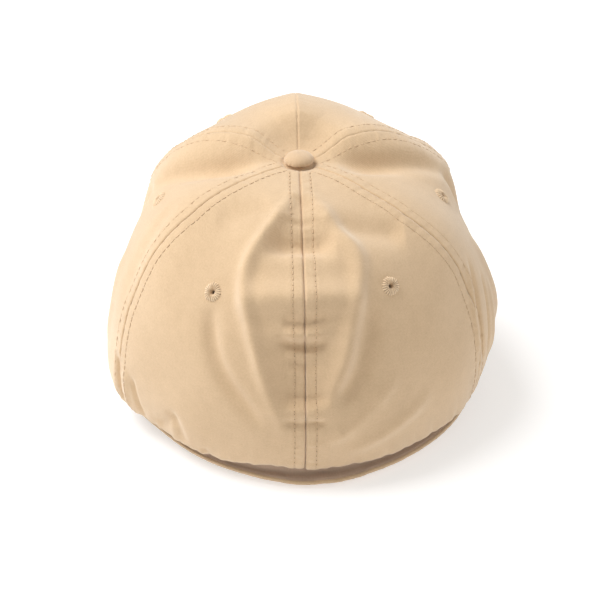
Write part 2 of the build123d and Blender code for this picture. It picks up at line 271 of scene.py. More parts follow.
# ---- slump and folds ----
# Each fold is a half width and a height in mm, then the (degrees round, share down) points of
# its line. Positive heights stand out, negative ones sink in. Left of the cap is positive.
FOLDS = [
    # hollows in the soft sides, close behind the stiff front
    (5.8, -3.6, (105, 0.52), (98, 0.39), (90, 0.26), (80, 0.13)),
    (5.6, -3.8, (-108, 0.52), (-101, 0.38), (-93, 0.25), (-84, 0.13)),
    # shoulders where the stiff front ends, and the tuck below them
    (6.5, 1, (126, 0.44), (121, 0.52), (118, 0.58)),
    (6.5, 1.6, (-126, 0.44), (-121, 0.52), (-118, 0.58)),
    (6, -2.2, (108, 0.52), (104, 0.6), (103, 0.68)),
    (5, -3, (-109, 0.5), (-105, 0.58), (-103, 0.66)),
    # the front panels rise more gently ahead of the button
    (9, 0.7, (204, 0.17), (180, 0.17), (156, 0.17)),
    # three-cornered hollow behind the button, widening down to the ridge across the back
    (6, -1.8, (0, 0.2), (1, 0.27), (2, 0.32)),
    (11, -2.6, (2, 0.29), (2, 0.36), (2, 0.42)),
    (6.5, -3.8, (17, 0.395), (10, 0.385), (2, 0.38), (-8, 0.385), (-15, 0.395)),
    # the ridge, and the hollow under it
    (6.8, 4.8, (24, 0.55), (13, 0.535), (0, 0.53), (-11, 0.535), (-21, 0.55)),
    (12, -5, (2, 0.62), (2, 0.7), (1, 0.8)),
    # long ridges down both sides of the hollows
    (3.4, 3.2, (6, 0.17), (11, 0.25), (16, 0.33), (20.5, 0.41), (21.5, 0.48), (18.5, 0.56), (15, 0.64),
     (11.5, 0.72), (8, 0.8), (5, 0.87)),
    (4.2, 3, (-9, 0.19), (-14, 0.27), (-19, 0.36), (-22, 0.44), (-18, 0.53), (-14, 0.61), (-11, 0.69),
     (-7, 0.77), (-4, 0.84)),
    (3.8, -2.6, (31, 0.57), (29, 0.64), (24, 0.72), (17, 0.79), (11, 0.85)),
    (5.5, -2.2, (-23, 0.55), (-18, 0.66), (-13, 0.74), (-8, 0.8)),
    # shallow dent on the right shoulder of the back, fainter on the left
    (7, -2.8, (-13, 0.31), (-26, 0.35), (-40, 0.4), (-48, 0.44)),
    (7, -1.3, (20, 0.26), (34, 0.31), (46, 0.37)),
    # cross creases where the centre tape buckles
    (2.4, -1.7, (7, 0.585), (1, 0.59), (-8, 0.58)),
    (1.7, 1, (7, 0.61), (1, 0.615), (-7, 0.61)),
    (2.4, -2, (9, 0.63), (1, 0.64), (-8, 0.637)),
    (1.8, 0.8, (6, 0.66), (1, 0.665), (-5, 0.66)),
    (2, -1, (5, 0.69), (0, 0.695), (-5, 0.69)),
    (2.3, -1.8, (6, 0.775), (0, 0.78), (-7, 0.77)),
    (1.6, 0.5, (4, 0.805), (0, 0.81), (-4, 0.805)),
    (2.1, -1.6, (7, 0.83), (0, 0.84), (-6, 0.835)),
    # soft light folds low on the right
    (3.6, 1.3, (-6, 0.9), (-15, 0.83), (-27, 0.74)),
    (3.6, 1.2, (-11, 0.94), (-24, 0.88), (-38, 0.82)),
    (4, -0.9, (-9, 0.86), (-20, 0.79)),
    # tight upright wrinkles on the right side
    (1.7, -1.3, (-70, 0.6), (-65, 0.7), (-64, 0.8), (-65, 0.88)),
    (1.8, 1, (-67, 0.6), (-61, 0.72), (-61, 0.84)),
    (1.8, -1.3, (-75, 0.66), (-71, 0.78), (-69, 0.9)),
    (2.2, 1, (-79, 0.7), (-75, 0.82), (-74, 0.92)),
    # puckers along the hem, left of the back
    (1.6, -2, (64, 0.83), (63, 0.9), (63, 0.98)),
    (1.8, 0.9, (59, 0.84), (59, 0.91), (59, 0.98)),
    (1.6, -1.5, (56, 0.85), (54, 0.98)),
    (2.6, -1.2, (41, 0.87), (38, 0.91), (37, 0.96)),
    (2.6, -1.3, (38, 0.88), (43, 0.92), (48, 0.96)),
    (2, -1.2, (30, 0.95), (28, 0.99)),
    # sides
    (5, 1.2, (84, 0.62), (79, 0.74), (77, 0.88)),
    (6, -1, (96, 0.66), (92, 0.8), (92, 0.94)),
    (5, 1.2, (-86, 0.6), (-84, 0.74), (-85, 0.9)),
    (6, -1.2, (-97, 0.64), (-93, 0.78), (-94, 0.92)),
    (5, -0.9, (72, 0.4), (68, 0.55), (68, 0.7)),
    (3, -0.9, (105, 0.76), (108, 0.9)),
    (3, -0.9, (-106, 0.78), (-109, 0.92)),
    # the stiff front is nearly clean
    (7, -0.7, (146, 0.8), (160, 0.86), (172, 0.88)),
    (7, -0.6, (-146, 0.8), (-160, 0.86), (-172, 0.88)),
]


def fold_line(path, count=22):
    """Smooth curve on the crown through a fold's points."""
    pts = np.array(path, float)
    t = np.linspace(0, len(pts) - 1.0, count)
    i = np.clip(t.astype(int), 0, len(pts) - 2)
    u = (t - i)[:, None]
    p0, p1 = pts[np.maximum(i - 1, 0)], pts[i]
    p2, p3 = pts[i + 1], pts[np.minimum(i + 2, len(pts) - 1)]
    curve = 0.5 * (
        2 * p1
        + (p2 - p0) * u
        + (2 * p0 - 5 * p1 + 4 * p2 - p3) * u**2
        + (3 * p1 - p0 - 3 * p2 + p3) * u**3
    )
    return crown_base(np.radians(curve[:, 0]), curve[:, 1])


# Where the soft crown has settled away from its even shape: (degrees, share, mm outwards).
SETTLE = [
    # left side, drawn in above the band and pushed out low down behind it
    (159, 0.37, -2), (138, 0.41, -3.2), (125, 0.47, -3.4), (118, 0.52, -2), (113, 0.57, -4),
    (110, 0.64, -6.5), (103, 0.69, -6.5), (95, 0.75, -5.5), (88, 0.81, -4.4), (84, 0.87, -2.5),
    (79, 0.9, 0), (74, 0.92, 2.3), (67, 0.95, 4.2), (62, 0.98, 3.6), (54, 1, 0.5),
    # right side, with a shoulder behind the stiff front
    (-156, 0.35, -1.5), (-132, 0.39, -2), (-122, 0.47, -1.2), (-115, 0.52, 1.8), (-111, 0.58, 0.4),
    (-107, 0.63, -3.4), (-102, 0.68, -3.4), (-97, 0.72, -2), (-93, 0.76, -1.2), (-88, 0.79, -0.4),
    (-81, 0.86, 0.4), (-75, 0.88, 0.4), (-69, 0.92, 1), (-65, 0.97, 1.6), (-53, 1, 1.6),
    (-42, 1, 0.2),
    # right shoulder of the back sinks
    (-62, 0.22, -2.2), (-58, 0.32, -3.2), (-56, 0.42, -2.4), (-80, 0.3, -1.5),
    # the rest stays where it was sewn
    (180, 0.3, -0.6), (180, 0.6, 0), (150, 0.7, 0), (-150, 0.7, 0), (0, 0.5, 0),
    (30, 0.6, 0), (-30, 0.6, 0), (60, 0.4, 0), (70, 0.7, -1), (-72, 0.68, 0),
    (30, 1, 0), (-30, 1, 0), (0, 1, 0), (0, 0.15, 0), (120, 0.95, 0),
    (-120, 0.95, 0),
]
SETTLE_AT = crown_base(np.radians([s[0] for s in SETTLE]), np.array([s[1] for s in SETTLE]))
SETTLE_REACH = 25.0
SETTLE_EASE = 0.10  # lets the surface pass a little off each place, so it stays smooth


def closeness(points, places):
    """Gaussian closeness of every point to every place."""
    gap = points[:, None] - places
    return np.exp(-(gap**2).sum(-1) / SETTLE_REACH**2)


SETTLE_WEIGHT = np.linalg.solve(
    closeness(SETTLE_AT, SETTLE_AT) + SETTLE_EASE * np.eye(len(SETTLE)), [s[2] for s in SETTLE]
)


def settle(points):
    """Broad shift of the crown at points near it, smooth through the places above."""
    return (closeness(points.reshape(-1, 3), SETTLE_AT) @ SETTLE_WEIGHT).reshape(points.shape[:-1])


FOLD_LINES = [(fold_line(path), width, height) for width, height, *path in FOLDS]
FOLD_REACH = 3.2  # half widths past which a fold is nothing
FOLD_END = (-0.05, 0.28)  # share of a fold's length over which it dies out


def fold_lift(points):
    """Height of all folds at points of the smooth crown."""
    flat = points.reshape(-1, 3)
    total = np.zeros(len(flat))
    for line, width, height in FOLD_LINES:
        reach = FOLD_REACH * width
        low, high = line.min(0) - reach, line.max(0) + reach
        near = np.all((flat > low) & (flat < high), axis=1)
        dist, along = to_line(flat[near], line)
        taper = ramp(along, *FOLD_END) * ramp(1 - along, *FOLD_END)
        total[near] += height * hill(dist, width) * taper
    return total.reshape(points.shape[:-1])


DRIFT_HEIGHT = 0.40
WAVES = [
    (rng.normal(size=3), rng.uniform(0, 2 * pi), rng.uniform(24.0, 52.0)) for _ in range(9)
]


def drift(points):
    """Slow unevenness of soft cloth, about plus or minus 1."""
    total = np.zeros(points.shape[:-1])
    for direction, phase, length in WAVES:
        total += np.sin(points @ unit(direction) * 2 * pi / length + phase)
    return total / 4.0


def cloth(az, share):
    """The crown's outer face with its slump and folds, without seam detail."""
    base = crown_base(az, share)
    n = surface_normal(crown_base, az, share)
    soft = 1 - 0.7 * ramp(from_back(az), 112.0, 128.0)
    lift = settle(base) + fold_lift(base) + DRIFT_HEIGHT * soft * drift(base)
    return base + n * lift[..., None]


def ripple(x, seed, lengths):
    """Uneven waves along a line, about plus or minus 1."""
    local = np.random.default_rng(seed)
    total = 0.0
    for length in lengths:
        total = total + np.sin(2 * pi * x / length + local.uniform(0, 2 * pi))
    return total / len(lengths) ** 0.5


# Directions of the seams down the crown, as (share, degrees from the back), for each side.
SEAMS = {
    ("back", 1): [(0, 0)],
    ("back", -1): [(0, 0)],
    ("front", 1): [(0, 180)],
    ("front", -1): [(0, 180)],
    ("back_side", 1): [(0, 62), (0.12, 61), (0.25, 58.5), (0.4, 58), (0.55, 61.5), (0.7, 63), (0.9, 62)],
    ("back_side", -1): [(0, 62), (0.12, 59), (0.25, 55.5), (0.4, 56), (0.5, 59), (0.6, 61.5), (0.9, 62)],
    ("front_side", 1): [(0, 120), (0.2, 118.5), (0.4, 118.5), (0.6, 120)],
    ("front_side", -1): [(0, 120), (0.2, 117), (0.4, 117), (0.6, 120)],
}

# How far the crown's edge sits above its even place, as (degrees, mm).
HEM_RAISE = [
    (-130, 0), (-90, 0.8), (-62, 3.6), (-44, 5.4), (-30, 4.8), (-18, 2.6), (-9, 0.8), (-3, 0),
    (3, 2.2), (10, 3.6), (22, 3.2), (34, 3.4), (48, 3.4), (62, 1.8), (90, 0.3), (130, 0),
]


def read_places(places, at, column=1):
    """Value between the places of a given list."""
    return np.interp(at, [p[0] for p in places], [p[column] for p in places])


def seam_turn(kind, sign, share):
    """Direction of a seam at a share down the crown, in radians from the back."""
    return np.radians(read_places(SEAMS[kind, sign], share))


def hem_raise(az):
    """How far the hem sits above the even shape's edge, in mm along the cloth."""
    return read_places(HEM_RAISE, turn_of(az))


# For each seam: depth of the join, width and height of its welt, depth of its stitch rows.
SEAM_FORMS = {
    "back": (0.80, 5.2, 0.20, 0.20),
    "back_side": (0.48, 5.0, 0.04, 0.05),
    "front_side": (0.24, 5.0, 0.02, 0.03),
    "front": (0.45, 2.4, 0.08, 0.0),
}


def seam_profile(d, along, kind, seed):
    """Height of the cloth beside a seam: turned edge, padded welt and stitched dip."""
    depth, width, welt_height, row_depth = SEAM_FORMS[kind]
    groove = -depth * hill(d, 0.5)
    welt = welt_height * ramp(d, 0.1, 1.4) * (1 - ramp(d, width, width + 3.4))
    row = -row_depth * hill(d - ROW_OFFSET, 0.6)
    gather = 0.065 if kind == "front" else 0.13
    pucker = gather * ripple(along, seed, (3.3, 4.7, 7.9)) * hill(d - 3.0, 4.0)
    return groove + welt + row + pucker


def arc_table(az):
    """Shares spaced evenly along a panel, from the hem up, and the length covered."""
    share = np.linspace(1.0, 0.02, 400)
    return share, length_along(crown_base(az, share))


# ---- mesh helpers ----
def turned(verts, faces, away):
    """Four-cornered faces wound so that, on the whole, they look away from a point."""
    corner = verts[np.array(faces)]
    normal = np.cross(corner[:, 2] - corner[:, 0], corner[:, 3] - corner[:, 1])
    outward = (normal * (corner.mean(1) - away)).sum()
    return faces if outward > 0 else [f[::-1] for f in faces]


INSIDE = (0, 0, 40)


def placed(name, data):
    """Object of the scene made from its data."""
    obj = bpy.data.objects.new(name, data)
    bpy.context.scene.collection.objects.link(obj)
    return obj


def new_object(name, verts, faces, uvs, away=INSIDE):
    """Mesh object from points in mm, its faces looking away from a point."""
    mesh = bpy.data.meshes.new(name)
    verts = verts.reshape(-1, 3)
    if away is not None:
        faces = turned(verts, faces, away)
    mesh.from_pydata((verts * MM).tolist(), [], faces)
    layer = mesh.uv_layers.new(name="UVMap")
    index = np.zeros(len(mesh.loops), dtype=np.int32)
    mesh.loops.foreach_get("vertex_index", index)
    layer.data.foreach_set("uv", uvs.reshape(-1, 2).astype(np.float32)[index].ravel())
    mesh.polygons.foreach_set("use_smooth", [True] * len(mesh.polygons))
    mesh.update()
    return placed(name, mesh)


def full_turn(count):
    """Even directions once round, in radians."""
    return np.linspace(0, 2 * pi, count, endpoint=False)


def grid_faces(rows, cols, wrap=False):
    """Quads of a grid of points stored row by row."""
    faces = []
    for r in range(0, (rows - 1) * cols, cols):
        for c in range(cols if wrap else cols - 1):
            d = (c + 1) % cols
            faces.append((r + c, r + d, r + cols + d, r + cols + c))
    return faces


def grid_object(name, points, uv, wrap=False, away=INSIDE):
    """Mesh object from a grid of points, rows by columns."""
    return new_object(name, points, grid_faces(*points.shape[:2], wrap), uv, away)


def grid_normals(p):
    """Normals of a grid of points, rows by columns."""
    return unit(np.cross(np.gradient(p, axis=1), np.gradient(p, axis=0)))


def solidify(obj, thickness, offset=-1.0):
    """Gives a surface its cloth thickness, inwards unless offset says otherwise."""
    mod = obj.modifiers.new("thickness", "SOLIDIFY")
    mod.thickness = thickness * MM
    mod.offset = offset
    mod.use_even_offset = False


THREAD_SIDES = 6
# Sections of a stitch from end to end: place along it, thickness, and drop towards the cloth.
THREAD_SECTIONS = np.array(
    [(-0.5, 0.30, -0.10), (-0.36, 0.82, -0.025), (0, 1, 0), (0.36, 0.82, -0.025), (0.5, 0.30, -0.10)]
)


def threads(name, centres, tangents, normals, radius):
    """One mesh of many short stitches, each a fat rounded thread dipping in at both ends."""
    along, fat, dip = THREAD_SECTIONS.T[..., None]
    angle = full_turn(THREAD_SIDES)[:, None]
    t = unit(tangents)[:, None]
    n = normals[:, None]
    n = unit(n - (n * t).sum(-1, keepdims=True) * t)
    spoke = np.cos(angle) * n * 0.75 + np.sin(angle) * np.cross(t, n)
    middle = centres[:, None] + t * along * STITCH_LENGTH + n * dip
    verts = middle[:, :, None] + radius * fat[:, None] * spoke[:, None]
    # u runs from end to end of a stitch; the thread material paints shade at both ends from it.
    uv = stacked(along + 0.5, angle.T / (2 * pi))
    each = len(fat) * THREAD_SIDES
    faces = grid_faces(len(fat), THREAD_SIDES, wrap=True)
    faces += [tuple(range(THREAD_SIDES))[::-1], tuple(range(each - THREAD_SIDES, each))]
    starts = range(0, each * len(centres), each)
    faces = [tuple(start + k for k in face) for start in starts for face in faces]
    return new_object(name, verts, faces, np.tile(uv, (len(centres), 1, 1)), away=None)


# ---- materials ----
class Nodes:
    """A material, with short ways to add and link its shader nodes."""

    def __init__(self, name, **settings):
        self.mat = bpy.data.materials.new(name)
        self.mat.use_nodes = True
        self.tree = self.mat.node_tree
        self.shader = self.tree.nodes["Principled BSDF"]
        for key, value in settings.items():
            self.shader.inputs[key.replace("_", " ")].default_value = value

    def add(self, kind, **props):
        node = self.tree.nodes.new("ShaderNode" + kind)
        for key, value in props.items():
            if key in node.bl_rna.properties:
                setattr(node, key, value)
            else:
                node.inputs[key.replace("_", " ")].default_value = value
        return node

    def link(self, a, b):
        self.tree.links.new(a, b)

    def math(self, op, *values):
        node = self.add("Math", operation=op)
        for socket, value in zip(node.inputs, values):
            if isinstance(value, (int, float)):
                socket.default_value = value
            else:
                self.link(value, socket)
        return node.outputs[0]

    def wave(self, value, pitch):
        return self.math("SINE", self.math("MULTIPLY", value, 2 * pi / pitch))

    def weighted(self, first, *others):
        """Sum of (value, weight) pairs."""
        total = self.math("MULTIPLY", *first)
        for pair in others:
            total = self.math("ADD", total, self.math("MULTIPLY", *pair))
        return total

    def noise(self, vector, scale, detail=3.0):
        node = self.add("TexNoise", Scale=scale, Detail=detail)
        self.link(vector, node.inputs["Vector"])
        return node.outputs["Fac"]

    def mix(self, fac, a, b):
        node = self.add("Mix", data_type="RGBA")
        for socket, value in zip((node.inputs[0], *node.inputs[6:8]), (fac, a, b)):
            if isinstance(value, tuple):
                socket.default_value = (*value, 1.0)
            else:
                self.link(value, socket)
        return node.outputs[2]

    def bump(self, height, strength, distance, after=None):
        node = self.add("Bump", Strength=strength, Distance=distance)
        self.link(height, node.inputs["Height"])
        if after is not None:
            self.link(after, node.inputs["Normal"])
        return node.outputs["Normal"]

    def place(self):
        return self.add("TexCoord").outputs["Object"]

    def uv(self):
        return self.add("UVMap", uv_map="UVMap").outputs["UV"]

    def split_uv(self):
        split = self.add("SeparateXYZ")
        self.link(self.uv(), split.inputs[0])
        return split.outputs[0], split.outputs[1]

    def finish(self, colour, normal=None):
        self.link(colour, self.shader.inputs["Base Color"])
        if normal is not None:
            self.link(normal, self.shader.inputs["Normal"])
        return self.mat


def twill(name, light, dark, pitch=0.62, sheen=0.60):
    """Brushed cotton twill: slanted ribs, crossing threads, fuzz and soft colour drift."""
    m = Nodes(
        name,
        Roughness=0.88,
        Sheen_Weight=sheen,
        Sheen_Roughness=0.55,
        Sheen_Tint=(1.0, 0.94, 0.86, 1.0),
        Specular_IOR_Level=0.18,
    )
    uv = m.uv()
    u, v = m.split_uv()
    slant = m.math("ADD", u, m.math("MULTIPLY", v, 0.62))
    wobble = m.math("MULTIPLY", m.noise(uv, 0.55, 2.0), 0.35)
    rib = m.wave(m.math("ADD", slant, wobble), pitch)
    cross = m.wave(m.math("SUBTRACT", v, wobble), pitch * 0.62)
    weave = m.weighted((rib, 0.65), (cross, 0.35))
    fuzz = m.noise(uv, 1.15, 4.0)
    slub = m.noise(uv, 0.22)
    patch = m.noise(uv, 0.035)
    fac = m.weighted((weave, 0.12), (fuzz, 0.45), (slub, 0.25), (patch, 0.30))
    spread = m.add("MapRange", From_Min=0.28, From_Max=0.72)
    m.link(fac, spread.inputs["Value"])
    colour = m.mix(spread.outputs[0], dark, light)
    normal = m.bump(weave, 0.40, 0.00008)
    normal = m.bump(fuzz, 0.40, 0.00022, normal)
    normal = m.bump(slub, 0.25, 0.00025, normal)
    return m.finish(colour, normal)


def thread(name, light, dark, hole):
    """Twisted sewing thread, with painted shade at both ends where a stitch goes down its needle hole.
    """
    m = Nodes(name, Roughness=0.6, Sheen_Weight=0.3, Specular_IOR_Level=0.3)
    scaled = m.add("VectorMath", operation="SCALE", Scale=1000.0)
    m.link(m.place(), scaled.inputs[0])
    twist = m.noise(scaled.outputs[0], 2.6, 2.0)
    from_middle = m.math("ABSOLUTE", m.math("SUBTRACT", m.split_uv()[0], 0.5))
    # painted shade: both ends of each stitch take the hole colour, where the thread dives into the cloth
    hole_shade = m.math("GREATER_THAN", from_middle, 0.33)
    colour = m.mix(hole_shade, m.mix(twist, dark, light), hole)
    return m.finish(colour, m.bump(twist, 0.4, 0.00012))


def overcast(name, light, gap, hole):
    """Thread worked over an edge: u is 0 between turns and 1 on them, v is 0 down the hole. The gap and
    hole colours are painted shade between the turns and down the hole.
    """
    m = Nodes(name, Roughness=0.6, Sheen_Weight=0.3)
    turn, shown = m.split_uv()
    # painted shade: gap colour between the turns, hole colour down the hole
    colour = m.mix(shown, hole, m.mix(m.math("POWER", turn, 0.6), gap, light))
    return m.finish(colour, m.bump(m.noise(m.place(), 2500.0, 2.0), 0.3, 0.0001))


def mesh_cloth(name, light, dark, pitch):
    """Open plain weave for buckram, tape and elastic."""
    m = Nodes(name, Roughness=0.8, Sheen_Weight=0.2)
    net = m.math("MAXIMUM", *(m.wave(t, pitch) for t in m.split_uv()))
    mottled = m.math("ADD", m.math("MULTIPLY", net, 0.3), m.noise(m.uv(), 0.12))
    colour = m.mix(mottled, dark, light)
    return m.finish(colour, m.bump(net, 0.5, 0.00012))


def moulded(name, colour, roughness, metallic=0.0):
    """Sheet plastic or stamped metal with faint mould or roll marks."""
    m = Nodes(name, Roughness=roughness, Metallic=metallic)
    marks = m.noise(m.place(), 420.0)
    shade = tuple(0.82 * c for c in colour)
    return m.finish(m.mix(marks, shade, colour), m.bump(marks, 0.2, 0.00005))


CREAM = (0.73, 0.525, 0.325)
CREAM_DARK = (0.59, 0.41, 0.238)
CROWN = twill("crown_twill", CREAM, CREAM_DARK)
VISOR_CLOTH = twill("visor_twill", CREAM, CREAM_DARK)
BUTTON_CLOTH = twill("button_twill", (0.69, 0.49, 0.305), (0.60, 0.41, 0.24), pitch=0.55)
BAND_CLOTH = twill("sweatband_cloth", (0.66, 0.48, 0.355), (0.53, 0.38, 0.275), 0.5, sheen=0.2)
# The third colour of each thread is painted shade at the ends of its stitches.
THREAD = thread("sewing_thread", (0.74, 0.54, 0.34), (0.60, 0.42, 0.25), (0.34, 0.22, 0.125))
SEAM_THREAD = thread("seam_thread", (0.72, 0.52, 0.32), (0.64, 0.455, 0.275), (0.50, 0.345, 0.205))
FAINT_THREAD = thread("faint_thread", (0.72, 0.52, 0.325), (0.67, 0.48, 0.295), (0.66, 0.47, 0.29))
# Gap and hole colours of the eyelet thread are painted shade between its turns and down its hole.
EYELET_THREAD = overcast("eyelet_thread", (0.80, 0.60, 0.385), (0.36, 0.24, 0.145), (0.11, 0.07, 0.045))
TAPE_CLOTH = mesh_cloth("seam_tape_cloth", (0.74, 0.56, 0.37), (0.62, 0.45, 0.29), 0.7)
BUCKRAM = mesh_cloth("buckram_mesh", (0.84, 0.81, 0.72), (0.66, 0.62, 0.53), 1.1)
ELASTIC = mesh_cloth("elastic_ribs", (0.80, 0.77, 0.68), (0.62, 0.58, 0.50), 1.6)
BOARD = moulded("visor_board_plastic", (0.72, 0.71, 0.68), 0.5)
METAL = moulded("button_steel", (0.68, 0.68, 0.70), 0.35, metallic=1.0)


def coat(obj, material):
    """Gives an object one material."""
    obj.data.materials.clear()
    obj.data.materials.append(material)


def own(obj, material, slot, *nodes):
    """Gives a piece its finish and its place in the cap."""
    coat(obj, material)
    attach(obj, "root")
    if nodes:
        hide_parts(*nodes)


# ---- crown panels ----
PANELS = {
    "back": (0.0, BACK_SEAM, "back", "back_side"),
    "side": (BACK_SEAM, FRONT_SEAM, "back_side", "front_side"),
    "front": (FRONT_SEAM, 180.0, "front_side", "front"),
}
SIDES = {"left": 1.0, "right": -1.0}
EYELET_OPENING = 1.9
BUTTON_DIP = 1.1  # the cloth is pulled in round the button
COLUMNS_TO_SEAMS = 0.62  # gathers a panel's columns towards its seams


def panel_surface(kind, sign, columns=104, rows=150):
    """Grid of a panel's outer face with its seams, and its cloth coordinates in mm."""
    first, last, seam_a, seam_b = PANELS[kind]
    middle = radians((first + last) / 2)
    share_table, length_table = arc_table(middle)
    w = np.linspace(0, 1, columns)
    w = (w - COLUMNS_TO_SEAMS * np.sin(2 * pi * w) / (2 * pi))[None, :]
    hem_az = seam_turn(seam_a, sign, 1.0) * (1 - w) + seam_turn(seam_b, sign, 1.0) * w
    low = hem_raise(sign * hem_az)
    up = low + (length_table[-1] - low) * np.linspace(0, 1, rows)[:, None]
    share = np.interp(up, length_table, share_table)
    start, stop = seam_turn(seam_a, sign, share), seam_turn(seam_b, sign, share)
    az = start + (stop - start) * w
    radius = plan_radius(az, share)
    gap_a = radius * (az - start) + 0.06
    gap_b = radius * (stop - az) + 0.06
    surface = cloth(sign * az, share)
    normal = grid_normals(surface)
    centre = rows // 2, columns // 2
    if normal[centre] @ surface[centre] < 0:
        normal = -normal
    near_top = ramp(radius, 5.0, 13.0)
    along = up - low
    other = 0 if sign > 0 else 1
    lift = seam_profile(gap_a, along, seam_a, 3 + other)
    lift = lift + seam_profile(gap_b, along, seam_b, 5 + other)
    lift = lift * near_top - BUTTON_DIP * hill(radius - BUTTON_RADIUS, 1.0)
    hem_roll = -0.75 * hill(along, 0.9)
    hem_pucker = ripple(radius * az, 21 + other, (5.1, 8.3, 13.7)) * np.exp(-along / 7.0)
    soft = 0.30 if kind != "front" else 0.09
    lift = lift + hem_roll + soft * hem_pucker
    return surface + normal * lift[..., None], stacked(radius * (az - middle), up)


def make_panel(kind, side):
    """One cloth panel, open where its eyelet is worked."""
    points, uv = panel_surface(kind, SIDES[side])
    faces = grid_faces(*points.shape[:2])
    az, share = EYELETS[f"{kind}_{side}"]
    hole = cloth(np.array([radians(az)]), np.array([share]))[0]
    far = np.linalg.norm(points.reshape(-1, 3) - hole, axis=1) > EYELET_OPENING
    faces = [f for f in faces if far[list(f)].all()]
    name = f"{kind}_{side}_panel"
    panel = new_object(f"{name}_cloth", points, faces, uv)
    solidify(panel, FABRIC)
    own(panel, CROWN, "crown_twill", name)


for kind in PANELS:
    for side in SIDES:
        make_panel(kind, side)


# ---- layers inside the crown ----
BUCKRAM_DEPTH = 1.35
TAPE_DEPTHS = {"front": 2.6, "back": 1.55}
TAPE_LOW = 0.985  # share at which every tape ends
TAPE_START = 15.5  # from the button axis
CENTRE_TAPE_TOP = 111.9
BUCKRAM_MARGIN = 0.4  # degrees, beside the seams


def inner_point(az, share, depth):
    """Point below the crown's outer face."""
    return cloth(az, share) - surface_normal(crown_base, az, share) * depth


def make_buckram(side):
    """Stiff open-weave backing of a front panel."""
    share = np.linspace(1.0, 0.045, 70)[:, None]
    az = np.radians(np.linspace(FRONT_SEAM + BUCKRAM_MARGIN, 180.0 - BUCKRAM_MARGIN, 44))
    middle = radians((FRONT_SEAM + 180.0) / 2)
    points = inner_point(SIDES[side] * az, share, BUCKRAM_DEPTH)
    radius = np.hypot(points[..., 0], points[..., 1])
    uv = stacked(radius * (az - middle), (1 - share) * arc_table(middle)[1][-1])
    name = f"front_{side}_buckram"
    obj = grid_object(f"{name}_mesh", points, uv)
    solidify(obj, 0.45)
    own(obj, BUCKRAM, "buckram_mesh", name)


for side in SIDES:
    make_buckram(side)


ACROSS_TAPE = np.linspace(-TAPE_HALF, TAPE_HALF, 13)[None, :]


def slanting_tape(az_seam, depth):
    """Binding tape over the inside of one slanting seam."""
    share_all = np.linspace(0.03, TAPE_LOW, 400)
    first = share_all[np.argmax(plan_radius(az_seam, share_all) > TAPE_START)]
    share = np.linspace(first, TAPE_LOW, 90)[:, None]
    az = az_seam + ACROSS_TAPE / plan_radius(az_seam, share)
    return inner_point(az, share, depth)


def make_tape(name, points):
    """Finishes a tape from its grid of points, the middle column on the seam."""
    middle = points.shape[1] // 2
    along = length_along(points[:, middle])
    obj = grid_object(f"{name}_cloth", points, stacked(ACROSS_TAPE, along[:, None]))
    solidify(obj, 0.4, offset=0.0)
    own(obj, TAPE_CLOTH, "seam_tape", name)


for side, sign in SIDES.items():
    for kind, seam in (("front", FRONT_SEAM), ("back", BACK_SEAM)):
        strip = slanting_tape(sign * radians(seam), TAPE_DEPTHS[kind])
        make_tape(f"{kind}_{side}_seam_tape", strip)


def centre_half(side, seam):
    """Half of the centre tape, from the button axis down to the hem."""
    share_all = np.linspace(0.004, 1.0, 600)
    radius_all = plan_radius(seam, share_all)
    share = np.interp(np.linspace(0.02, 1.0, 110), np.linspace(0, 1, 600), share_all)[:, None]
    radius = np.interp(share, share_all, radius_all)
    rising = int(np.argmax(radius_all > 45.0))
    reach = np.hypot(ACROSS_TAPE, radius)
    by_radius = np.interp(reach, radius_all[:rising], share_all[:rising])
    w = ramp(radius, 28.0, 40.0)
    shares = by_radius * (1 - w) + share * w
    turn = np.arctan2(ACROSS_TAPE, radius)
    az = seam - turn if seam else turn
    return inner_point(az, np.minimum(shares, TAPE_LOW), TAPE_DEPTHS[side])


# One tape from the front hem over the top to the back hem, level under the button.
strip = np.concatenate([centre_half("front", pi)[::-1], centre_half("back", 0.0)])
level = 1 - ramp(np.abs(strip[..., 1]), 4.0, 10.0)
strip[..., 2] = strip[..., 2] * (1 - level) + CENTRE_TAPE_TOP * level
make_tape("centre_seam_tape", strip)


# ---- stitches ----
PANEL_LENGTH = 165.0


def seam_row(kind, side_of_seam, sign, wander, raised):
    """Line of a top-stitch row beside a seam, a little above the cloth."""
    share = np.linspace(0.07, 0.992, 320)
    seam = seam_turn(kind, sign, share)
    radius = plan_radius(seam, share)
    offset = side_of_seam * ROW_OFFSET
    shift = offset + wander * np.sin(share * 31.0 + 7.0 * offset)
    az = sign * (seam + shift / radius)
    lowest = 1 - (hem_raise(az) + 1.0) / PANEL_LENGTH
    keep = (radius > 8.5) & (share < lowest)
    az, share = az[keep], share[keep]
    n = surface_normal(crown_base, az, share)
    return cloth(az, share) + n * raised, n


def make_stitches(name, rows, slot, material=THREAD, radius=STITCH_RADIUS):
    """Even stitches along rows given as (line, outward direction) pairs."""
    centres, tangents, normals = [], [], []
    step = STITCH_LENGTH + STITCH_GAP
    for line, normal in rows:
        length = length_along(line)
        at = np.arange(step / 2, length[-1], step)
        centres.append(at_length(at, length, line))
        tangents.append(at_length(at + 0.4, length, line) - at_length(at - 0.4, length, line))
        normals.append(at_length(at, length, normal))
    parts = (np.concatenate(part) for part in (centres, tangents, normals))
    own(threads(name, *parts, radius), material, slot)


centre_rows = [seam_row("back", s, 1.0, 0.10, 0.24) for s in (-1, 1)]
make_stitches("back_centre_stitches", centre_rows, "crown_twill")
for side, sign in SIDES.items():
    row = seam_row("back_side", -1, sign, 0.12, 0.16)
    make_stitches(f"back_{side}_seam_stitches", [row], "crown_twill", SEAM_THREAD, radius=0.21)
    rows = [seam_row("front_side", s, sign, 0.12, 0.08) for s in (-1, 1)]
    rows.append(seam_row("back_side", 1, sign, 0.12, 0.08))
    make_stitches(f"front_{side}_seam_stitches", rows, "crown_twill", FAINT_THREAD, radius=0.18)


